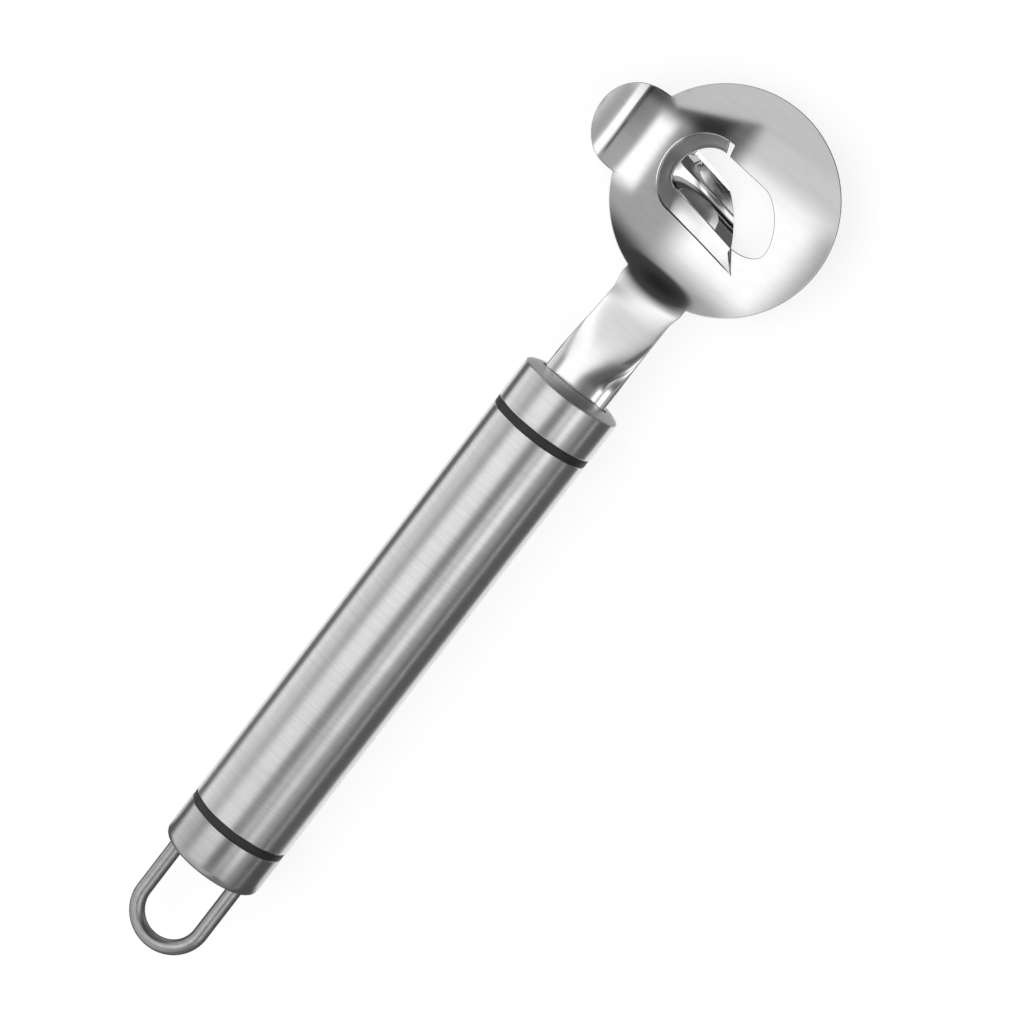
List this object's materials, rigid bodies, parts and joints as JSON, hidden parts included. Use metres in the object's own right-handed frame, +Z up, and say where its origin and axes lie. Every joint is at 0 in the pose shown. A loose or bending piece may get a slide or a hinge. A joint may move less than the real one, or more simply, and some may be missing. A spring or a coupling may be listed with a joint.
{
  "type": "pasta cutter",
  "caption": "Hand-held pasta cutter: round steel handle with a wire hanging loop, and a dished steel head with a gouge blade under a sheared slot and a tongue at its side.",
  "frame": {"origin": "middle of the plan of the whole tool, on the surface that it lies on", "axes": "+X along the handle from the wire loop to the head, +Y to the side of the tongue, +Z up, out of the hollow of the head"},
  "size_m": [0.2124, 0.0538, 0.022],
  "materials": {
    "head_steel": "satin polished",
    "blade_steel": "mirror polished",
    "handle_steel": "brushed round the handle",
    "loop_steel": "brushed",
    "pin_steel": "plain",
    "ring_rubber": "matt",
    "core_plastic": "plain"
  },
  "bodies": {
    "root": {"cutter_head": "head_steel", "cutting_blade": "blade_steel", "front_cap": "handle_steel", "front_ring": "ring_rubber", "handle_tube": "handle_steel", "rear_ring": "ring_rubber", "rear_cap": "handle_steel", "hanging_loop": "loop_steel", "front_core": "core_plastic", "rear_core": "core_plastic", "tang_pin_front": "pin_steel", "tang_pin_rear": "pin_steel", "loop_retainer_left": "pin_steel", "loop_retainer_right": "pin_steel"}
  },
  "joints": []
}
